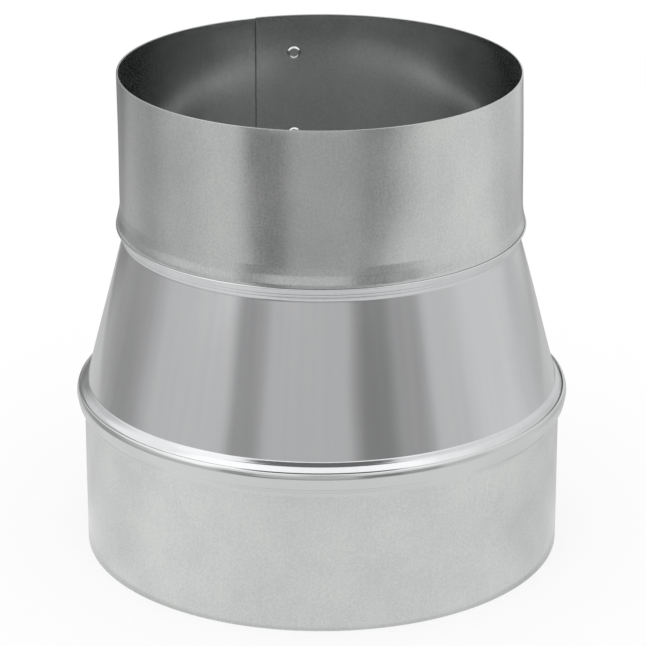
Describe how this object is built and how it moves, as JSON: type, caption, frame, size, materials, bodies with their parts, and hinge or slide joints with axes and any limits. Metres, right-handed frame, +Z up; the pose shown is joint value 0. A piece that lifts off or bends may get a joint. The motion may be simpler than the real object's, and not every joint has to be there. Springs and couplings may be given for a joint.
{
  "type": "duct reducer",
  "caption": "Round galvanised steel duct reducer: a plain small collar, a tapering cone and a plain large collar, joined by raised rolled beads, with lapped seams at the back.",
  "frame": {"origin": "middle of the large mouth, on the surface that the reducer stands on", "axes": "+Z up along the duct axis to the small mouth, +Y to the back, where the seams are"},
  "size_m": [0.1566, 0.1566, 0.1555],
  "materials": {
    "galvanised_sheet": "matte zinc coating with a fine grain",
    "burnished_sheet": "zinc coating burnished by rolling, with soft streaks"
  },
  "bodies": {
    "root": {"small_collar": "galvanised_sheet", "taper": "burnished_sheet", "large_collar": "galvanised_sheet"}
  },
  "joints": []
}
